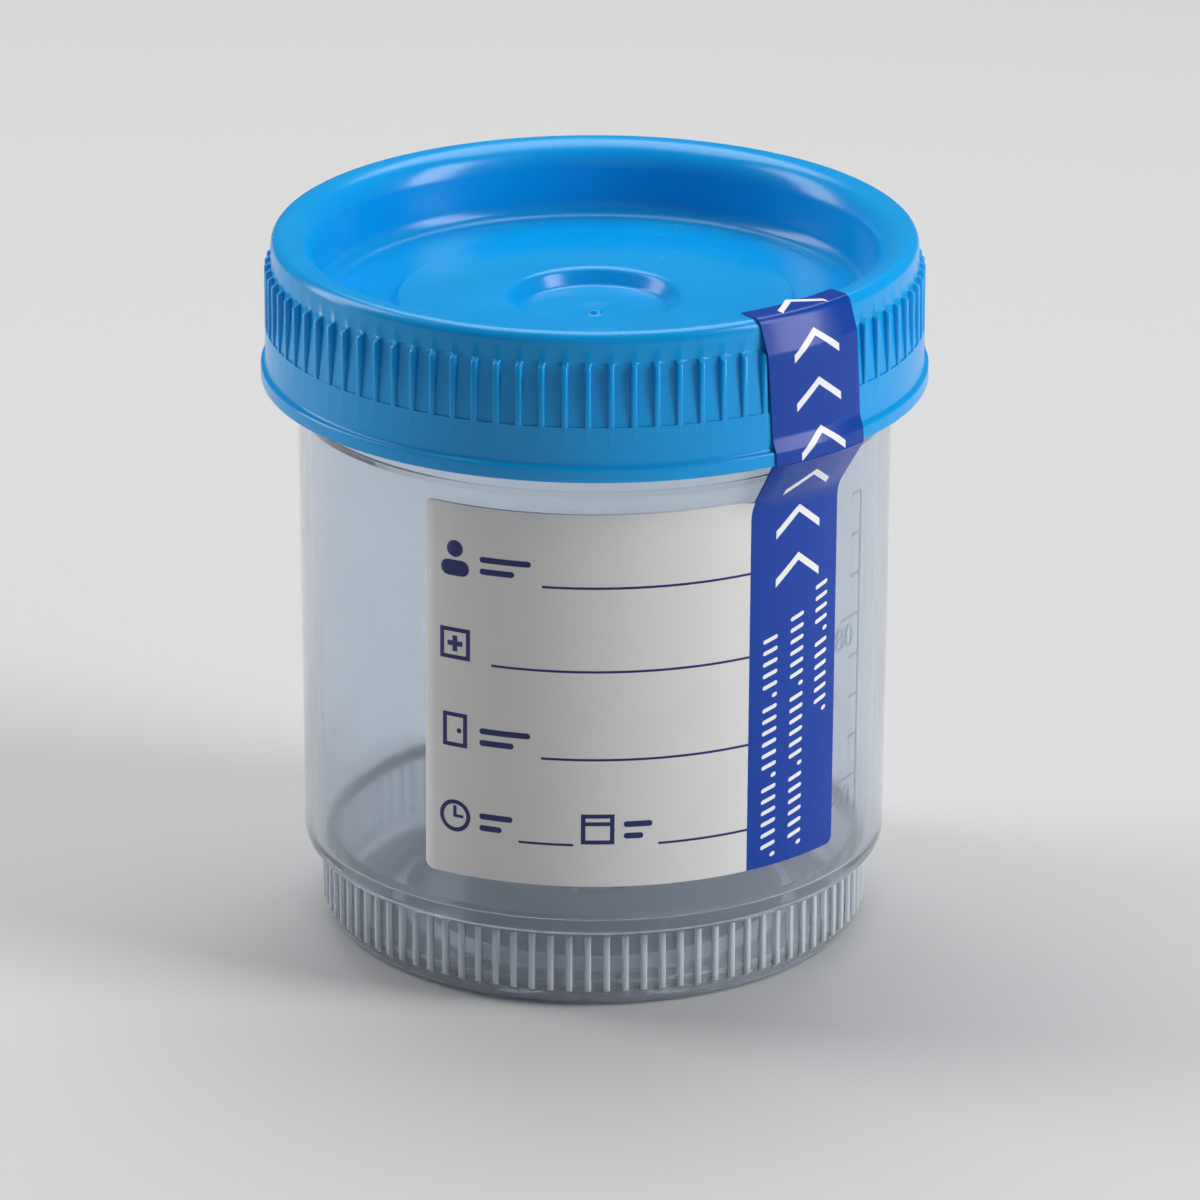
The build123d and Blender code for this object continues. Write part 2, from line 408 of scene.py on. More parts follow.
class Tree:
    """A geometry node tree with named inputs, which turns one mesh into another."""

    def __init__(self, name, **inputs):
        """Inputs are the names of the tree's inputs, by their kind."""
        self.group = bpy.data.node_groups.new(name, "GeometryNodeTree")
        face = self.group.interface
        for way in ("OUTPUT", "INPUT"):
            face.new_socket("Geometry", in_out=way, socket_type="NodeSocketGeometry")
        for kind, labels in inputs.items():
            for label in labels:
                face.new_socket(label, in_out="INPUT", socket_type="NodeSocket" + kind)
        face.new_socket("Material", in_out="INPUT", socket_type="NodeSocketMaterial")
        self.given = self.node("NodeGroupInput").outputs

    def node(self, kind, feeds=(), **settings):
        return add_node(self.group, kind, feeds, **settings)

    def math(self, operation, *values):
        return self.node("ShaderNodeMath", values, operation=operation).outputs[0]

    def ramp(self, value, low, high, start=0.0, end=1.0):
        """Smooth change from start to end as value goes from low to high."""
        feeds = [value, low, high, start, end]
        return self.node("ShaderNodeMapRange", feeds, interpolation_type="SMOOTHSTEP").outputs[0]

    def vector(self, *parts):
        return self.node("ShaderNodeCombineXYZ", parts).outputs[0]

    def position(self):
        """Sockets of x, y and z."""
        return self.node("ShaderNodeSeparateXYZ", [self.node("GeometryNodeInputPosition").outputs[0]]).outputs

    def transform(self, geometry, **moves):
        return self.node("GeometryNodeTransform", {"Geometry": geometry, **moves}).outputs[0]

    def finish(self, geometry):
        """Ends the tree with realised instances in the given material."""
        real = self.node("GeometryNodeRealizeInstances", [geometry]).outputs[0]
        dressed = self.node("GeometryNodeSetMaterial", {"Geometry": real, "Material": self.given["Material"]})
        self.node("NodeGroupOutput", [dressed.outputs[0]])

    def run(self, mesh, values):
        """The mesh that the tree makes from a mesh, with its inputs set by their identifiers."""
        holder = add_object("holder", mesh)
        modifier = holder.modifiers.new(self.group.name, "NODES")
        modifier.node_group = self.group
        for item in self.group.interface.items_tree:
            if item.in_out == "INPUT" and item.name in values:
                modifier[item.identifier] = values[item.name]
        made = applied(holder)
        bpy.data.meshes.remove(mesh)
        return made


RIB_REACH = mm(0.05)
THREAD_STEPS = 72
THREAD_TIP = (0.05, 0.07)
BAR_ROUND = 0.48


def grip_rib_tree():
    """Tree that raises upright grip ribs from a turned wall."""
    names = ("Phase", "Root Radius", "Crest Radius", "Crest", "Flank", "Low", "High", "Run Out Low", "Run Out High")
    tree = Tree("Grip Ribs", Int=["Count"], Float=names)
    given, m = tree.given, tree.math
    x, y, z = tree.position()
    radius = m("POWER", m("ADD", m("MULTIPLY", x, x), m("MULTIPLY", y, y)), 0.5)
    angle = m("ARCTAN2", x, m("MULTIPLY", y, -1))
    pitch = m("DIVIDE", 2 * pi, given["Count"])
    beside = m("PINGPONG", m("ADD", m("SUBTRACT", angle, given["Phase"]), 4 * pi), m("DIVIDE", pitch, 2))
    beside = m("MULTIPLY", beside, given["Root Radius"])
    down = tree.node("ShaderNodeMapRange", [beside, given["Crest"], m("ADD", given["Crest"], given["Flank"])])
    profile = m("SQRT", m("SUBTRACT", 1, m("POWER", down.outputs[0], 2)))
    rise = tree.ramp(z, m("SUBTRACT", given["Low"], given["Run Out Low"]), given["Low"])
    fall = tree.ramp(z, given["High"], m("ADD", given["High"], given["Run Out High"]), 1, 0)
    proud = m("MAXIMUM", m("SUBTRACT", given["Crest Radius"], radius), 0)
    lift = m("MULTIPLY", m("MULTIPLY", profile, proud), m("MULTIPLY", rise, fall))
    outward = tree.node("ShaderNodeVectorMath", [tree.vector(x, y, 0)], operation="NORMALIZE").outputs[0]
    offset = tree.node("ShaderNodeVectorMath", {0: outward, "Scale": lift}, operation="SCALE").outputs[0]
    near = m("GREATER_THAN", radius, m("SUBTRACT", given["Root Radius"], RIB_REACH))
    moved = tree.node("GeometryNodeSetPosition", {"Geometry": given["Geometry"], "Selection": near, "Offset": offset})
    tree.finish(moved.outputs[0])
    return tree


def thread_tree():
    """Tree that sweeps a thread round the axis on a spiral, tapered at both ends."""
    tree = Tree("Screw Thread", Float=["Radius", "Low", "Pitch", "Turns", "Width", "Height", "Start"])
    given, m = tree.given, tree.math
    path = {
        "Resolution": THREAD_STEPS,
        "Rotations": given["Turns"],
        "Start Radius": given["Radius"],
        "End Radius": given["Radius"],
        "Height": m("MULTIPLY", given["Pitch"], given["Turns"]),
        "Reverse": False,
    }
    spiral = tree.node("GeometryNodeCurveSpiral", path)
    upright = tree.node("GeometryNodeSetCurveNormal", [spiral.outputs[0]], mode="Z_UP").outputs[0]
    along = tree.node("GeometryNodeSplineParameter").outputs["Factor"]
    thin, run = THREAD_TIP
    taper = m("MULTIPLY", tree.ramp(along, 0, run, thin, 1), tree.ramp(along, 1 - run, 1, 1, thin))
    section = tree.node("GeometryNodeCurvePrimitiveCircle", {"Resolution": 10, "Radius": 1.0}).outputs[0]
    shape = tree.vector(given["Height"], m("DIVIDE", given["Width"], 2), 1)
    section = tree.transform(section, Scale=shape)
    feeds = {"Curve": upright, "Profile Curve": section, "Scale": taper, "Fill Caps": True}
    swept = tree.node("GeometryNodeCurveToMesh", feeds).outputs[0]
    lift, begin = tree.vector(0, 0, given["Low"]), tree.vector(0, 0, given["Start"])
    tree.finish(tree.transform(swept, Translation=lift, Rotation=begin))
    return tree


def bar_row_tree():
    """Tree that sets out flat round-ended bars in a row, where one in so many is long, after a few first."""
    tree = Tree(
        "Bar Row",
        Int=["Count", "Long Every", "First"],
        Vector=["Start", "Step"],
        Float=["Bar Width", "Short", "Long", "Lean"],
    )
    given, m = tree.given, tree.math
    feeds = {"Count": given["Count"], "Start Location": given["Start"], "Offset": given["Step"]}
    line = tree.node("GeometryNodeMeshLine", feeds, mode="OFFSET").outputs[0]
    index = m("ADD", tree.node("GeometryNodeInputIndex").outputs[0], given["First"])
    is_long = m("COMPARE", m("MODULO", index, given["Long Every"]), 0, 0.1)
    joined_rows = tree.node("GeometryNodeJoinGeometry")
    for reach, chosen in (("Long", is_long), ("Short", m("SUBTRACT", 1, is_long))):
        size = {"Width": given[reach], "Height": given["Bar Width"]}
        feeds = {
            "Curve": tree.node("GeometryNodeCurvePrimitiveQuadrilateral", size).outputs[0],
            "Count": 4,
            "Radius": m("MULTIPLY", given["Bar Width"], BAR_ROUND),
        }
        soft = tree.node("GeometryNodeFilletCurve", feeds, mode="POLY").outputs[0]
        flat = tree.node("GeometryNodeFillCurve", [soft], mode="NGONS").outputs[0]
        flat = tree.transform(flat, Translation=tree.vector(m("DIVIDE", given[reach], -2), 0, 0))
        feeds = {"Points": line, "Selection": chosen, "Instance": flat}
        row = tree.node("GeometryNodeInstanceOnPoints", feeds).outputs[0]
        tree.group.links.new(row, joined_rows.inputs[0])
    real = tree.node("GeometryNodeRealizeInstances", [joined_rows.outputs[0]]).outputs[0]
    sheared = tree.vector(0, m("MULTIPLY", tree.position()[0], given["Lean"]), 0)
    leaned = tree.node("GeometryNodeSetPosition", {"Geometry": real, "Offset": sheared})
    tree.finish(leaned.outputs[0])
    return tree


def bar_row(material, count, start, step, width, short, long, every, first=0, lean=0.0):
    """Flat mesh of bars in a row up from start (across, up); they are long at each every-th, after first."""
    values = {
        "Count": count,
        "Long Every": every,
        "First": first,
        "Start": (*start, 0),
        "Step": (0, step, 0),
        "Bar Width": width,
        "Short": short,
        "Long": long,
        "Lean": lean,
        "Material": material,
    }
    return bar_row_tree().run(bpy.data.meshes.new("bars"), values)


# Sheets and print, drawn flat and then bent round the container


def follow(points):
    """Function from a length along a line to the point there and its outward direction."""
    lengths = [0.0]
    for a, b in zip(points, points[1:]):
        lengths.append(lengths[-1] + (b - a).length)

    def there(run):
        k = max(i for i, at_length in enumerate(lengths[:-1]) if i == 0 or at_length <= run)
        ahead = (points[k + 1] - points[k]).normalized()
        return points[k] + ahead * (run - lengths[k]), Vector((ahead.y, -ahead.x))

    return there, lengths


def disc(across, up, radius, sides=20):
    return [(across + radius * cos(2 * pi * k / sides), up + radius * sin(2 * pi * k / sides)) for k in range(sides)]


def box(left, low, right, high):
    return [(left, low), (right, low), (right, high), (left, high)]


def between(outer, inner):
    """Outlines that fill the band between two outlines of as many points."""
    return [[outer[k - 1], outer[k], inner[k], inner[k - 1]] for k in range(len(outer))]


def frame_bars(left, low, right, high, width):
    return between(box(left, low, right, high), box(left + width, low + width, right - width, high - width))


def bar(left, low, right, high, radius):
    corners = [(*corner, radius) for corner in box(left, low, right, high)]
    return [tuple(point) for point in rounded(corners, closed=True, arc_step=radians(30))]


def bent(name, flat, lines_across, lines_up, low, high, bend):
    """Closed sheet from convex flat outlines or a flat mesh: cut at lines, given its thickness and bent.

    Its face takes material 0, its edges 1 and its back 2.
    """
    work = bmesh.new()
    if isinstance(flat, bpy.types.Mesh):
        work.from_mesh(flat)
        bmesh.ops.triangulate(work, faces=work.faces)
    else:
        for outline in flat:
            work.faces.new([work.verts.new((across, up, 0)) for across, up in outline])
    bmesh.ops.remove_doubles(work, verts=work.verts, dist=TINY)
    for axis, lines in ((0, lines_across), (1, lines_up)):
        normal = Vector((1, 0, 0)) if axis == 0 else Vector((0, 1, 0))
        spots = [v.co[axis] for v in work.verts]
        for line in lines:
            if min(spots) < line < max(spots):
                everything = work.verts[:] + work.edges[:] + work.faces[:]
                bmesh.ops.bisect_plane(work, geom=everything, dist=TINY, plane_co=normal * line, plane_no=normal)
    bmesh.ops.remove_doubles(work, verts=work.verts, dist=TINY)
    outside = [edge for edge in work.edges if len(edge.link_faces) == 1]
    copy = bmesh.ops.duplicate(work, geom=work.verts[:] + work.edges[:] + work.faces[:])
    upper = copy["vert_map"]
    for edge in outside:
        a, b = edge.verts
        side = work.faces.new([a, b, upper[b], upper[a]])
        side.material_index = 1
    tops = {v for v in copy["geom"] if isinstance(v, bmesh.types.BMVert)}
    for v in work.verts:
        v.co.z = high if v in tops else low
    mesh = bpy.data.meshes.new(name)
    for face in work.faces:
        if not any(v in tops for v in face.verts):
            face.material_index = 2
    for v in work.verts:
        v.co = bend(*v.co)
    work.to_mesh(mesh)
    work.free()
    return mesh


def printed(name, shapes, p, across, upward, bend):
    """Print on a sheet's face: flat shapes, cut and bent as the sheet is."""
    return bent(name, shapes, across, upward, p.paper / 2 - PRINT_SINK, p.paper / 2 + p.ink, bend)


def spread(low, high, step):
    count = max(1, ceil((high - low) / step))
    return [low + (high - low) * k / count for k in range(1, count)]


def lay_marks(name, meshes, body, slot, material, sharp=SHEET_SHARP):
    """Joins bent marks into one piece with one finish."""
    work = bmesh.new()
    for mesh in meshes:
        work.from_mesh(mesh)
        bpy.data.meshes.remove(mesh)
    mesh = bpy.data.meshes.new(name)
    work.to_mesh(mesh)
    work.free()
    tidy_mesh(mesh, name, sharp)
    for polygon in mesh.polygons:
        polygon.material_index = 0
    return place(name, mesh, body, slot, material)


# Finishes

NOISE_LOW, NOISE_HIGH = 0.3, 0.7


def finish(name, colour, rough, grain, drift, sockets, bump=mm(0.01), lines=None, milky=None):
    """Procedural finish: colour and roughness drift slowly over the surface, over a fine grain.

    lines are stretches of the grain (scale, share). milky is the clearness of the body, then what each
    zone (low and high radius, low and high height, edge, loss) takes from it, whitening the zone as haze and as
    painted light.
    """
    material = bpy.data.materials.new(name)
    material.use_nodes = True
    links = material.node_tree.links
    shader = material.node_tree.nodes["Principled BSDF"]
    for key, value in sockets.items():
        shader.inputs[key].default_value = value

    def add(kind, feeds=(), **settings):
        return add_node(material.node_tree, kind, feeds, **settings)

    def m(operation, *values):
        return add("ShaderNodeMath", values, operation=operation).outputs[0]

    where = add("ShaderNodeTexCoord").outputs["Object"]
    in_mm = add("ShaderNodeMapping", {"Vector": where, "Scale": (1000, 1000, 1000)}).outputs[0]
    slow = add("ShaderNodeTexNoise", {"Vector": in_mm, "Scale": drift[0], "Detail": 3.0}).outputs["Fac"]
    fine = add("ShaderNodeTexNoise", {"Vector": in_mm, "Scale": grain[0], "Detail": 2.0}).outputs["Fac"]
    pale = [min(1, part * (1 + drift[1])) for part in colour[:3]] + [1]
    deep = [part * (1 - drift[1]) for part in colour[:3]] + [1]
    blend = add("ShaderNodeMix", {0: slow, 6: deep, 7: pale}, data_type="RGBA")
    links.new(blend.outputs[2], shader.inputs["Base Color"])
    gloss = add("ShaderNodeMapRange", [slow, NOISE_LOW, NOISE_HIGH, *rough]).outputs[0]
    links.new(gloss, shader.inputs["Roughness"])
    relief = fine
    if lines:
        stretched = add("ShaderNodeMapping", {"Vector": in_mm, "Scale": lines[0]}).outputs[0]
        streaks = add("ShaderNodeTexNoise", {"Vector": stretched, "Scale": 1.0, "Detail": 2.0}).outputs["Fac"]
        relief = m("ADD", relief, m("MULTIPLY", streaks, lines[1]))
    if milky:
        clear, zones = milky
        flat = add("ShaderNodeVectorMath", [in_mm, (1, 1, 0)], operation="MULTIPLY").outputs[0]
        radius = add("ShaderNodeVectorMath", [flat], operation="LENGTH").outputs["Value"]
        height = add("ShaderNodeSeparateXYZ", [in_mm]).outputs["Z"]
        for near, far, low, high, edge, loss in zones:
            share_of = None
            for value, start, end in ((radius, near, far), (height, low, high)):
                for sign, limit in ((1, start), (-1, -end)):
                    span = [m("MULTIPLY", value, sign), limit - edge, limit + edge]
                    inside = add("ShaderNodeMapRange", span).outputs[0]
                    share_of = inside if share_of is None else m("MULTIPLY", inside, share_of)
            taken = m("MULTIPLY", share_of, loss)
            clear = add("ShaderNodeMath", [clear, taken], operation="SUBTRACT", use_clamp=True).outputs[0]
        links.new(clear, shader.inputs["Transmission Weight"])
    raised = add("ShaderNodeBump", {"Height": relief, "Strength": grain[1], "Distance": bump})
    links.new(raised.outputs[0], shader.inputs["Normal"])
    return material


def cup_plastic():
    """Natural plastic, whiter in the foot, most of all on its ribs and on the step of its floor: partly haze, partly
    painted glow and highlights.
    """
    look, p = bpy.context.scene.specimen_finish, plan()
    foot_r, step_r, foot_top = (1000 * size for size in (p.foot_r, p.floor_step_r, p.foot_height))
    # Foot zone: a painted glow with some haze of the plastic, whitest low in the cup and gone by the top of the foot.
    foot = (-1, foot_r + 5, -1, foot_top / 2, foot_top / 2, look.foot_milk)
    # Rib zone: painted highlights along the foot's ribs, with some haze of the plastic.
    ribs = (foot_r + 0.1, foot_r + 1, 1, foot_top - 0.3, 0.05, look.rib_milk)
    # Step zone: a painted highlight band on the floor's step.
    step = (step_r - 1.1, step_r + 0.2, -1, 2.3, 0.1, look.step_milk)
    return bpy.data.materials.get("Natural_polypropylene") or finish(
        "Natural_polypropylene",
        look.cup_tint,
        (look.cup_gloss * 0.7, look.cup_gloss * 1.4),
        (0.35, 0.5),
        (0.08, 0.03),
        {"IOR": 1.49},
        bump=mm(0.02),
        lines=((0.25, 0.25, 0.02), 2.0),
        milky=(look.cup_clear, [foot, ribs, step]),
    )


def cap_plastic():
    look = bpy.context.scene.specimen_finish
    return bpy.data.materials.get("Blue_polypropylene") or finish(
        "Blue_polypropylene",
        look.cap_tint,
        (0.18, 0.28),
        (3.0, 0.2),
        (0.12, 0.06),
        {
            "IOR": 1.5,
            "Subsurface Weight": 0.2,
            "Subsurface Radius": (0.3, 0.8, 1.0),
            "Subsurface Scale": mm(1.5),
            "Specular IOR Level": 0.4,
        },
    )


def paper(name, tint_key, rough, sockets=None):
    """Finish of paper or of print on it, in one of the set tints."""
    colour = getattr(bpy.context.scene.specimen_finish, tint_key)
    return bpy.data.materials.get(name) or finish(
        name, colour, rough, (2.2, 0.3), (0.2, 0.03), {"IOR": 1.45, **(sockets or {})}
    )


def label_paper():
    return paper("Coated_label_paper", "paper_tint", (0.34, 0.46))


def paper_edge():
    return paper("Paper_edge", "edge_tint", (0.7, 0.85))


def strip_ink():
    sockets = {
        "Coat Weight": 0.2,
        "Coat Roughness": 0.14,
        "Specular IOR Level": 0.3,
        "Specular Tint": (0.8, 0.7, 1.0, 1),
    }
    return paper("Printed_blue_strip", "strip_tint", (0.22, 0.34), sockets)


def dark_ink():
    return paper("Navy_print", "ink_tint", (0.4, 0.55))


def pale_print():
    return paper("White_print", "print_tint", (0.3, 0.42))


# Pieces

RIB_CREST = mm(0.14)
RIB_FLANK = mm(0.21)
RIB_HALF = [RIB_CREST + RIB_FLANK * part for part in (0, 0.43, 0.72, 1)]
RIB_OFFSETS = [-offset for offset in reversed(RIB_HALF)] + RIB_HALF
RIB_STRIDE = 3
THREAD_START = 0.6


def rib_end(wall, end, run_out):
    """Rows of points on a wall where the ribs run out from their end; wall gives the radius at a height."""
    heights = [end + run_out * part for part in (0, 0.2, 0.4, 0.6, 0.8, 1)]
    return [(wall(height), height, 0) for height in heights]


def ribbed(name, outline, p, fine, material, root, crest, low, high, runs):
    """Turned shell whose grip ribs rise from its wall, from the root to the crest radius.

    They stand from low to high, and runs are the heights over which they fade out below and above.
    """
    shell = turned(name, rounded(outline), rib_columns(p.rib_count, p.rib_phase, root, RIB_OFFSETS), fine, RIB_STRIDE)
    values = {
        "Count": p.rib_count,
        "Phase": p.rib_phase,
        "Root Radius": root,
        "Crest Radius": crest,
        "Crest": RIB_CREST,
        "Flank": RIB_FLANK,
        "Low": low,
        "High": high,
        "Run Out Low": runs[0],
        "Run Out High": runs[1],
        "Material": material,
    }
    return tidy_mesh(grip_rib_tree().run(shell, values), name, RIB_SHARP)


class BuildCup(bpy.types.Operator):
    """Turns the cup from its outline and raises the foot's ribs"""

    bl_idname = "specimen.build_cup"
    bl_label = "Cup"

    def execute(self, context):
        p = plan()
        run = mm(0.35)
        floor_top = p.floor_thickness + p.floor_rise

        def foot_wall(height):
            return p.foot_r

        outline = [
            (0, p.floor_rise, 0),
            (p.floor_step_r - p.floor_rise, p.floor_rise, mm(0.25)),
            (p.floor_step_r, 0, mm(0.25)),
            (p.foot_r, 0, p.foot_edge_round),
            *reversed(rib_end(foot_wall, p.foot_rib_low, -run)),
            *rib_end(foot_wall, p.foot_rib_top, run),
            (p.foot_r, p.foot_height, mm(0.2)),
            (p.body_low_r, p.foot_height, p.body_corner_round),
            (p.body_top_r, p.shoulder_z, p.edge_round),
            (p.neck_r, p.shoulder_top, p.edge_round),
            (p.neck_r, p.neck_top, p.edge_round),
            (p.neck_bore_r, p.neck_top, p.edge_round),
            (p.neck_bore_r, p.shoulder_top, mm(0.8)),
            (p.body_top_r - p.wall, p.shoulder_z, mm(0.8)),
            (p.body_low_r - p.wall, p.foot_height + p.step_wall, mm(0.5)),
            (p.foot_r - p.wall, p.foot_height + p.step_wall, mm(0.4)),
            (p.foot_r - p.wall, p.floor_thickness, p.floor_corner_round),
            (p.floor_step_r, p.floor_thickness, mm(0.4)),
            (p.floor_step_r - p.floor_rise, floor_top, mm(0.4)),
            (p.gate_disc_r + p.gate_disc_height, floor_top, mm(0.15)),
            (p.gate_disc_r, floor_top + p.gate_disc_height, mm(0.2)),
            (0, floor_top + p.gate_disc_height, 0),
        ]

        def fine(radius, height):
            return radius > p.foot_r - mm(0.5) and height < p.foot_height

        span = (p.foot_r, p.foot_r + p.foot_rib_proud, p.foot_rib_low, p.foot_rib_top, (run, run))
        mesh = ribbed("cup_shell", outline, p, fine, cup_plastic(), *span)
        place("cup_shell", mesh, "container", "cup_plastic", cup_plastic(), replaces=["cup"])
        return {"FINISHED"}


def lay_thread(name, p, radius, low, body, slot, material):
    """Sweeps a thread of the container's section and makes it a piece."""
    values = {
        "Radius": radius,
        "Low": low,
        "Pitch": p.thread_pitch,
        "Turns": p.thread_turns,
        "Width": p.thread_width,
        "Height": p.thread_proud,
        "Start": THREAD_START,
        "Material": material,
    }
    mesh = thread_tree().run(bpy.data.meshes.new(name), values)
    place(name, tidy_mesh(mesh, name), body, slot, material)


class BuildNeckThread(bpy.types.Operator):
    """Sweeps the thread on the outside of the neck"""

    bl_idname = "specimen.build_neck_thread"
    bl_label = "Neck thread"

    def execute(self, context):
        p = plan()
        lay_thread("neck_thread", p, p.neck_r, p.thread_low, "container", "cup_plastic", cup_plastic())
        return {"FINISHED"}


LOWEST_LEVEL = 3  # the lowest graduation stands for 30 ml


class BuildMarks(bpy.types.Operator):
    """Raises the graduations and their numbers on the side of the body"""

    bl_idname = "specimen.build_marks"
    bl_label = "Graduations"

    def execute(self, context):
        p = plan()
        last = p.mark_low + p.mark_pitch * (p.mark_count - 1)
        every, first, begin = p.mark_long_every, p.mark_first_long, (0, p.mark_low)
        sizes = (p.mark_pitch, p.mark_width, mm(1.5), mm(3.2))
        ticks = bar_row(cup_plastic(), p.mark_count, begin, *sizes, every, every - first)

        def on_wall(across, up, out):
            return at(p.mark_angle + across / p.body_top_r, body_r(p, up) + out, up)

        lines = spread(mm(-8), mm(2), mm(0.8))
        low, high = mm(-0.05), mm(0.04)
        spine = [bar(mm(0.1), p.mark_low, mm(0.1) + p.mark_width, last, mm(0.1))]
        meshes = [
            bent("ticks", ticks, lines, [], low, high, on_wall),
            bent("spine", spine, [], spread(p.mark_low, last, mm(4)), low, high, on_wall),
        ]
        for step in range(p.mark_first_long, p.mark_count, p.mark_long_every):
            curve = bpy.data.curves.new("number", "FONT")
            curve.body, curve.size, curve.align_x = str((step + LOWEST_LEVEL) * 10), mm(3.4), "RIGHT"
            curve.resolution_u = 3
            flat = applied(add_object("number", curve))
            flat.transform(Matrix.Translation((mm(-0.9), p.mark_low + p.mark_pitch * step - mm(3.0), 0)))
            meshes.append(bent("number", flat, lines, [], low, high, on_wall))
        lay_marks("graduations", meshes, "container", "cup_plastic", cup_plastic(), SHARP)
        return {"FINISHED"}


class BuildCap(bpy.types.Operator):
    """Turns the one-piece cap from its outline and raises its grip ribs"""

    bl_idname = "specimen.build_cap"
    bl_label = "Cap"

    def execute(self, context):
        p = plan()
        under = p.panel_wall
        grip_top = p.cap_rib_top + p.cap_rib_run_out

        def skirt(height):
            return p.skirt_r + p.skirt_draft * (grip_top - height) / (grip_top - p.band_top)

        outline = [
            (0, p.recess_floor - under, 0),
            (p.recess_r, p.recess_floor - under, mm(0.4)),
            (p.recess_r + p.recess_slope, p.plateau_top - under, mm(0.4)),
            (p.plateau_foot_r - p.plateau_slope - p.plateau_rise, p.plateau_top - under, mm(0.3)),
            (p.plateau_foot_r - p.plateau_slope, p.well_floor - under, mm(0.3)),
            (p.plug_r - p.plug_taper, p.well_floor - under, p.plug_tip_round),
            (p.plug_r, p.channel_top - p.plug_lead, mm(0.5)),
            (p.plug_r, p.channel_top - p.channel_chamfer, mm(0.2)),
            (p.plug_r + p.channel_chamfer, p.channel_top, mm(0.2)),
            (p.skirt_bore_r - p.channel_chamfer, p.channel_top, mm(0.2)),
            (p.skirt_bore_r, p.channel_top - p.channel_chamfer, mm(0.2)),
            (p.skirt_bore_r, p.band_top, mm(0.2)),
            (p.band_r - p.band_wall, p.band_top - p.bore_slope, mm(0.2)),
            (p.band_r - p.band_wall, p.skirt_bottom, mm(0.15)),
            (p.lip_r, p.skirt_bottom, mm(0.08)),
            (p.lip_r, p.skirt_bottom + p.lip_height, p.lip_edge_round),
            (p.band_r, p.skirt_bottom + p.lip_height + p.lip_edge_round, mm(0.3)),
            (p.band_r, p.band_top, 0),
            (p.skirt_r + p.skirt_draft, p.band_top, 0),
            *rib_end(skirt, p.cap_rib_top, p.cap_rib_run_out),
            (p.skirt_r, p.rim_top, p.rim_outer_round),
            (p.well_r, p.rim_top, p.rim_inner_round),
            (p.well_floor_r, p.well_floor, p.well_corner_round),
            (p.plateau_foot_r, p.well_floor, mm(0.35)),
            (p.plateau_foot_r - p.plateau_slope, p.plateau_top, mm(0.35)),
            (p.recess_r, p.plateau_top, p.recess_round),
            (p.recess_r - p.recess_slope, p.recess_floor, mm(0.6)),
            (p.gate_dish_r, p.recess_floor, mm(0.6)),
            (p.gate_r * 1.5, p.gate_floor, mm(0.3)),
            (p.gate_r, p.gate_floor + p.gate_height, mm(0.15)),
            (0, p.gate_floor + p.gate_height, 0),
        ]

        def fine(radius, height):
            return radius > p.skirt_r - mm(0.5)

        step = mm(0.01)
        span = (p.skirt_r, p.band_r, p.band_top - step, p.cap_rib_top, (step, p.cap_rib_run_out))
        mesh = ribbed("cap_shell", outline, p, fine, cap_plastic(), *span)
        place("cap_shell", mesh, "lid", "cap_plastic", cap_plastic(), replaces=["screw_cap"])
        return {"FINISHED"}


class BuildCapThread(bpy.types.Operator):
    """Sweeps the thread inside the cap's skirt"""

    bl_idname = "specimen.build_cap_thread"
    bl_label = "Cap thread"

    def execute(self, context):
        p = plan()
        low = p.thread_low + p.thread_pitch / 2
        lay_thread("cap_thread", p, p.skirt_bore_r, low, "lid", "cap_plastic", cap_plastic())
        return {"FINISHED"}


def lean_line(p):
    """Line of the strip's middle: up the wall and out to the edge of the cap."""
    lift = p.label_top - p.lift_drop
    corners = [
        (body_r(p, p.label_low) + p.sheet_off, p.label_low, 0),
        (body_r(p, lift) + p.sheet_off, lift, p.bend_round),
        (p.lean_r, p.skirt_bottom - p.seal_break, 0),
    ]
    return rounded(corners, arc_step=radians(4))


def tail_line(p):
    """Line of the tail's middle: from the lip up the ribs, over the rim and into the well's mouth."""
    top = p.rim_top + p.sheet_off - p.ink
    corners = [
        (p.lean_r, p.skirt_bottom, 0),
        (p.lean_r, p.skirt_bottom + p.lip_height, mm(0.4)),
        (p.band_r + p.sheet_off, p.skirt_bottom + p.tail_lean_height, mm(1.5)),
        (p.band_r + p.sheet_off, p.cap_rib_top, mm(1.5)),
        (p.skirt_r - p.paper, top, mm(0.8)),
        (p.skirt_r - p.tail_reach, top - p.tail_end_drop, 0),
    ]
    return rounded(corners, arc_step=radians(6))


BLEND_IN, BLEND_OUT = mm(0.4), mm(1.6)


def strip_bend(p, line, panel_line=None):
    """Function that bends a flat point (across the strip, along it, out) onto a line round the container.

    On a label with a panel line, the sheet blends from the strip's line into it beside the strip.
    """
    there, _ = follow(line)
    on_wall = follow(panel_line)[0] if panel_line else there
    half = p.strip_width / 2

    def bend(across, up, out):
        (radius, height), (side, rise) = there(up)
        if panel_line and across < -half + BLEND_IN:
            part = max(0.0, min(1.0, (across + half + BLEND_OUT) / (BLEND_IN + BLEND_OUT)))
            part = part * part * (3 - 2 * part)
            wall, _ = on_wall(up)
            radius, height = wall.x + (radius - wall.x) * part, wall.y + (height - wall.y) * part
        radius, height = radius + side * out, height + rise * out
        inside = max(-half, min(half, across))
        climb = max(0.0, (height - p.label_top) / (p.rim_top - p.label_top))
        middle = p.strip_angle - p.tail_drift * climb**1.5
        return at(middle + asin(inside / radius) + (across - inside) / radius, radius, height)

    return bend


CHEVRON_PITCH = mm(4.9)
CHEVRON_LOW, TAIL_CHEVRON_LOW = mm(44.1), mm(1.9)
TICK_ROWS = ((-2.35, 15.4, 20), (0.95, 15.0, 21), (4.25, 27.2, 12))  # right end, lowest tick, number of ticks
TICK_LEAN = 0.25
ROW_HEIGHTS = (44.2, 35.7, 26.7, 17.9)
LINE_STARTS = ((0, -10.05), (1, -19.9), (2, -10.05), (3, 12.4))  # row, angle


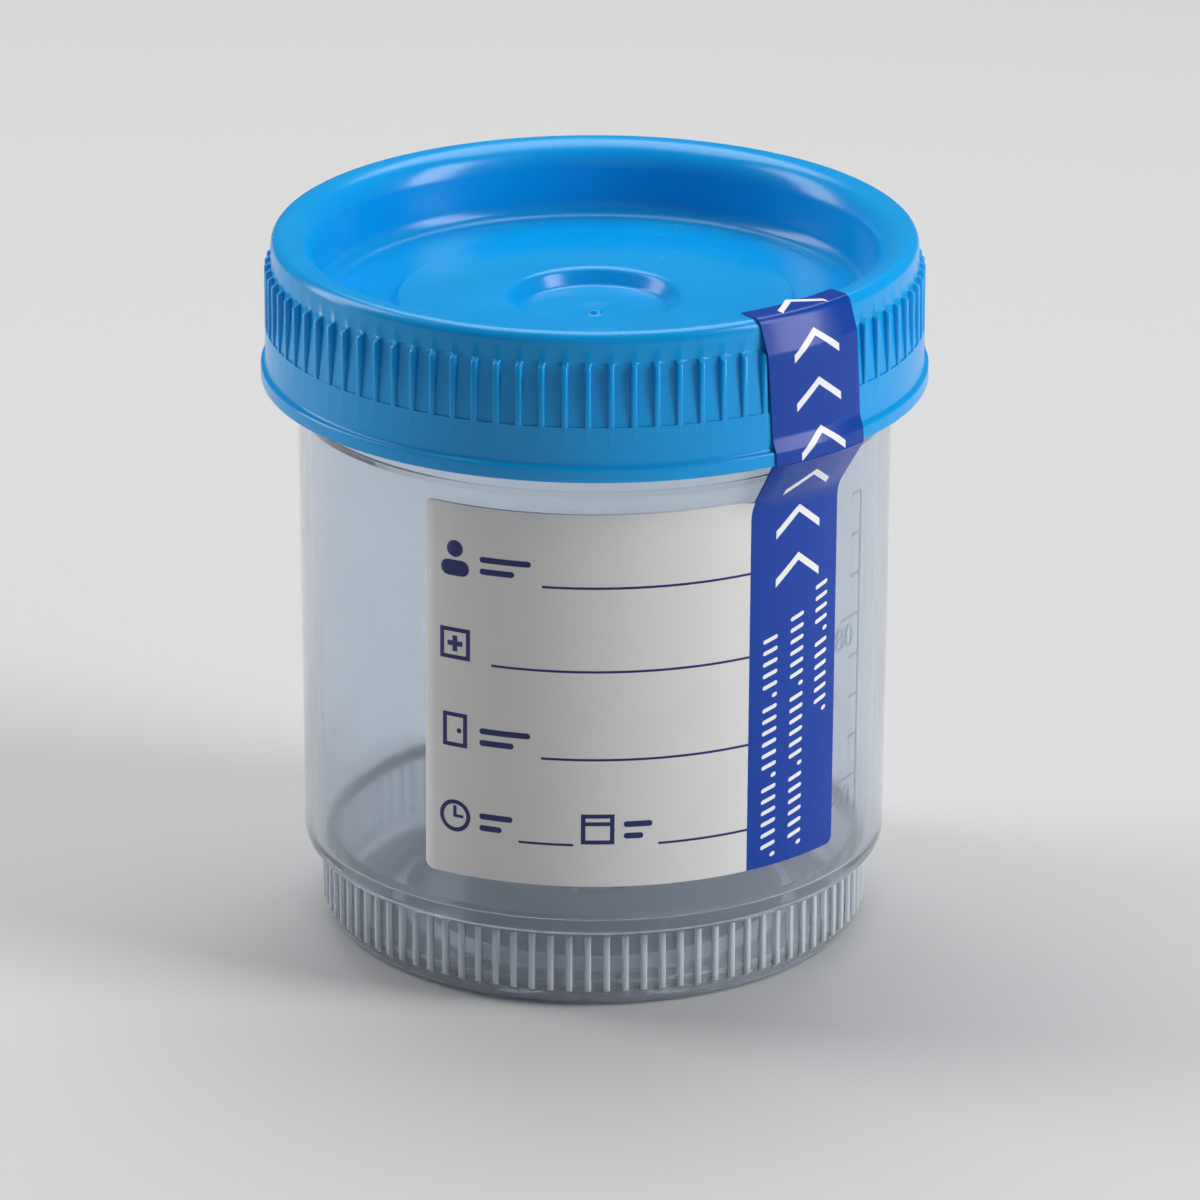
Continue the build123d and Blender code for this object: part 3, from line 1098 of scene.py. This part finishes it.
def chevrons(first, count):
    """Stacked chevrons that point up the strip, each of two slanting bars."""
    middle, reach, drop, width = mm(0.1), mm(5.6), mm(2.2), mm(0.8)
    shapes = []
    for up in (first + CHEVRON_PITCH * k for k in range(count)):
        for way in (-1, 1):
            tip, foot = (middle, up + drop / 2), (middle + way * reach / 2, up - drop / 2)
            corners = [tip, foot, (foot[0], foot[1] - width), (tip[0], tip[1] - width)]
            shapes.append(corners if way < 0 else corners[::-1])
    return shapes


class BuildLabel(bpy.types.Operator):
    """Lays the label and the lower strip on the wall, with their print"""

    bl_idname = "specimen.build_label"
    bl_label = "Label"

    def execute(self, context):
        p = plan()
        half = p.strip_width / 2
        line = lean_line(p)
        wall = [Vector((body_r(p, height) + p.sheet_off, height)) for height in (p.label_low, p.shoulder_z)]
        _, lengths = follow(line)
        bend = strip_bend(p, line, wall)
        edge = p.strip_angle - asin(half / p.body_top_r)
        left = -half - (edge - p.panel_left) * p.body_top_r
        top, end = p.label_top - p.label_low, lengths[-1]
        turn_in = p.corner_round
        panel = rounded([(left, 0, turn_in), (-half, 0, 0), (-half, top, 0), (left, top, turn_in)], closed=True)
        strip = rounded([(-half, 0, 0), (half, 0, turn_in), (half, end, 0), (-half, end, 0)], closed=True)
        across = [*spread(left, -half, mm(1.1)), -half, *spread(-half, half, mm(0.8))]
        bends = [run for run in lengths if 0 < run < end]
        upward = sorted({*spread(0, top, mm(2)), top, *bends, *spread(top, end, mm(0.5))})
        flat = [[tuple(v) for v in panel], [tuple(v) for v in strip]]
        sheet = bent("label_sheet", flat, across, upward, -p.paper / 2, p.paper / 2, bend)
        for polygon in sheet.polygons:
            if polygon.material_index < 2 and atan2(polygon.center.x, -polygon.center.y) > edge:
                polygon.material_index = 3
        mesh = tidy_mesh(sheet, "label_sheet", SHEET_SHARP)
        finishes = (label_paper(), paper_edge(), paper_edge(), strip_ink())
        place("label_sheet", mesh, "container", "label_paper", *finishes, replaces=["label"])
        self.print_panel(p, bend, left, -half, across, upward)
        self.print_strip(p, bend, across, upward)
        return {"FINISHED"}

    def print_panel(self, p, bend, left, right, across, upward):
        """Writing lines, each with a sign and two short bars before it."""
        rows = [mm(height) - p.label_low for height in ROW_HEIGHTS]
        stroke, thick, half = mm(0.42), p.line_width / 2, mm(1.6)

        def spot(angle):
            return left + (radians(angle) - p.panel_left) * p.body_top_r

        def words(start, stop, up):
            short = start + (stop - start) * 0.68
            upper, lower = (up + mm(1.75), up + mm(2.35)), (up + mm(0.55), up + mm(1.15))
            return [bar(start, upper[0], stop, upper[1], mm(0.28)), bar(start, lower[0], short, lower[1], mm(0.28))]

        lines = [(spot(start), right, rows[row]) for row, start in LINE_STARTS] + [(spot(-14.4), spot(-3.9), rows[3])]
        shapes = [box(start, up - thick, stop, up + thick) for start, stop, up in lines]
        first, second = spot(-30.6), spot(-2.6)
        x, after = first + half, first + mm(4.2)
        person, cross, door, clock = (up + mm(0.1) for up in rows)
        shapes += [disc(x, person + mm(2.75), mm(0.85))]
        shapes += [bar(x - mm(1.5), person, x + mm(1.5), person + half, mm(0.75)), *words(after, spot(-12.2), person)]
        shapes += frame_bars(x - half, cross, x + half, cross + 2 * half, stroke)
        arm, thin, y = mm(0.8), mm(0.25), cross + half
        shapes += [
            box(x - thin, y - arm, x + thin, y + arm),
            box(x - arm, y - thin, x - thin, y + thin),
            box(x + thin, y - thin, x + arm, y + thin),
        ]
        shapes += frame_bars(x - mm(1.3), door, x + mm(1.3), door + mm(3.5), stroke)
        shapes += [disc(x + mm(0.45), door + mm(1.7), mm(0.26), 10), *words(after, spot(-12.2), door)]
        face, hand, thin, y = mm(1.65), mm(0.9), mm(0.18), clock + mm(1.5)
        rim = (disc(x, clock + face, radius, 28) for radius in (face, face - stroke))
        shapes += [
            *between(*rim),
            box(x - thin, y, x + thin, y + mm(1.2)),
            box(x + thin, y, x + hand, y + mm(0.3)),
            *words(after, spot(-15.6), clock),
        ]
        x, inside = second + mm(1.7), half - stroke
        shapes += frame_bars(x - half, clock, x + half, clock + mm(3.1), stroke)
        shapes += [box(x - inside, clock + mm(1.9), x + inside, clock + mm(2.3))]
        shapes += words(second + mm(4.2), spot(11.2), clock)
        mesh = printed("panel_print", shapes, p, across, upward, bend)
        lay_marks("panel_print", [mesh], "container", "label_paper", dark_ink())

    def print_strip(self, p, bend, across, upward):
        """Chevrons and three rows of small slanting ticks, in white on the strip."""
        marks = chevrons(CHEVRON_LOW - p.label_low, 3)
        meshes = [printed("strip_print", marks, p, across, upward, bend)]
        for right, start, count in TICK_ROWS:
            begin, sizes = (mm(right), mm(start) - p.label_low), (mm(1.18), mm(0.42), mm(1.7), mm(0.6))
            flat = bar_row(pale_print(), count, begin, *sizes, every=7, lean=TICK_LEAN)
            meshes.append(printed("row", flat, p, across, upward, bend))
        lay_marks("strip_print", meshes, "container", "label_paper", pale_print())


class BuildSeal(bpy.types.Operator):
    """Lays the seal tail from the cap's lip over its rim, with its print"""

    bl_idname = "specimen.build_seal"
    bl_label = "Seal tail"

    def execute(self, context):
        p = plan()
        half = p.strip_width / 2
        line = tail_line(p)
        _, lengths = follow(line)
        bend = strip_bend(p, line)
        end = lengths[-1]
        across = spread(-half, half, mm(0.8))
        upward = sorted({*lengths[1:-1], *spread(0, end, mm(1))})
        mesh = bent("seal_sheet", [box(-half, 0, half, end)], across, upward, -p.paper / 2, p.paper / 2, bend)
        mesh = tidy_mesh(mesh, "seal_sheet", SHEET_SHARP)
        # The tail's edges take the strip's dark ink, not the paper's white core: painted shade along its edges.
        finishes = (strip_ink(), strip_ink(), paper_edge())
        place("seal_sheet", mesh, "lid", "seal_paper", *finishes, replaces=["seal_tail"])
        mesh = printed("seal_print", chevrons(TAIL_CHEVRON_LOW, 4), p, across, upward, bend)
        lay_marks("seal_print", [mesh], "lid", "seal_paper", pale_print())
        return {"FINISHED"}


FLOOR_Z = -mm(0.03)
FLOOR_ANGLES = [2 * pi * k / 96 for k in range(96)]
LAMP_TARGET = Vector((0, 0, mm(38)))
CAMERA_PLACE = (0, -0.7354, 0.3111)
CAMERA_DOWN, CAMERA_TURN, CAMERA_ROLL = radians(20.78), radians(-0.044), radians(0.13)


class BuildStage(bpy.types.Operator):
    """Sets up the plain floor, the soft lamps and the camera"""

    bl_idname = "specimen.build_stage"
    bl_label = "Stage"

    def execute(self, context):
        scene, studio = context.scene, context.scene.specimen_studio
        floor_mesh = turned("studio_floor", [(0, FLOOR_Z), (0.2, FLOOR_Z), (3.0, FLOOR_Z)], FLOOR_ANGLES)
        material = finish(
            "Studio_floor", studio.floor_tint, (0.6, 0.7), (0.5, 0.05), (0.002, 0.01), {"Specular IOR Level": 0.2}
        )
        floor_mesh.materials.append(material)
        floor = add_object("studio_floor", floor_mesh)

        world = bpy.data.worlds.new("Studio")
        world.use_nodes = True
        surround = world.node_tree.nodes["Background"]
        surround.inputs["Color"].default_value = (1, 1, 1, 1)
        surround.inputs["Strength"].default_value = studio.world_level
        scene.world = world

        lamps = [
            ("left", (-0.8, 0.224, 0.393), (0.32, 0.96), studio.left_power),
            ("right", (0.8, -0.256, 0.393), (0.32, 0.96), studio.right_power),
            ("top", (0.0, 0.28, 0.66), (0.6, 0.5), studio.top_power),
            ("front", (-0.15, -0.85, 0.45), (0.5, 0.5), studio.front_power),
        ]
        for name, where, size, power in lamps:
            data = bpy.data.lights.new(name, "AREA")
            data.shape, data.size, data.size_y, data.energy = "RECTANGLE", size[0], size[1], power
            lamp = add_object(name, data)
            lamp.location = where
            lamp.rotation_euler = (LAMP_TARGET - Vector(where)).to_track_quat("-Z", "Y").to_euler()

        data = bpy.data.cameras.new("camera")
        data.lens, data.sensor_width, data.sensor_fit = studio.lens, 36, "HORIZONTAL"
        data.clip_start, data.clip_end = 0.01, 20
        camera = add_object("camera", data)
        camera.matrix_world = (
            Matrix.Translation(CAMERA_PLACE)
            @ Matrix.Rotation(CAMERA_TURN, 4, "Z")
            @ Matrix.Rotation(pi / 2 - CAMERA_DOWN, 4, "X")
            @ Matrix.Rotation(CAMERA_ROLL, 4, "Z")
        )
        scene.camera = camera
        scene.view_settings.view_transform = "Standard"
        return {"FINISHED"}


def label_of(key):
    """Words for a value's key in the panel."""
    return " ".join("radius" if word == "r" else word for word in key.split("_")).capitalize()


class SpecimenPanel(bpy.types.Panel):
    """Lists the steps that build the container and the values that they use"""

    bl_idname = "VIEW3D_PT_specimen"
    bl_label = "Specimen container"
    bl_space_type = "VIEW_3D"
    bl_region_type = "UI"
    bl_category = "Specimen"

    def draw(self, context):
        column = self.layout.column(align=True)
        for step in STEPS:
            column.operator(step.bl_idname)
        for group, kind in GROUPS.items():
            section = self.layout.box()
            section.label(text=kind.__doc__)
            for key in kind.__annotations__:
                section.prop(getattr(context.scene, group), key, text=label_of(key))


GROUPS = {
    "specimen_cup": CupSizes,
    "specimen_cap": CapSizes,
    "specimen_label": LabelSizes,
    "specimen_finish": Finishes,
    "specimen_studio": StudioSetup,
}
STEPS = [BuildCup, BuildNeckThread, BuildMarks, BuildCap, BuildCapThread, BuildLabel, BuildSeal, BuildStage]


def register():
    for kind in (*GROUPS.values(), *STEPS, SpecimenPanel):
        bpy.utils.register_class(kind)
    for key, kind in GROUPS.items():
        setattr(bpy.types.Scene, key, PointerProperty(type=kind))


def unregister():
    for key in GROUPS:
        delattr(bpy.types.Scene, key)
    for kind in (SpecimenPanel, *reversed(STEPS), *GROUPS.values()):
        bpy.utils.unregister_class(kind)


def main():
    register()
    for step in STEPS:
        group, action = step.bl_idname.split(".")
        getattr(getattr(bpy.ops, group), action)()
    bpy.context.view_layer.update()


if __name__ == "__main__":
    main()
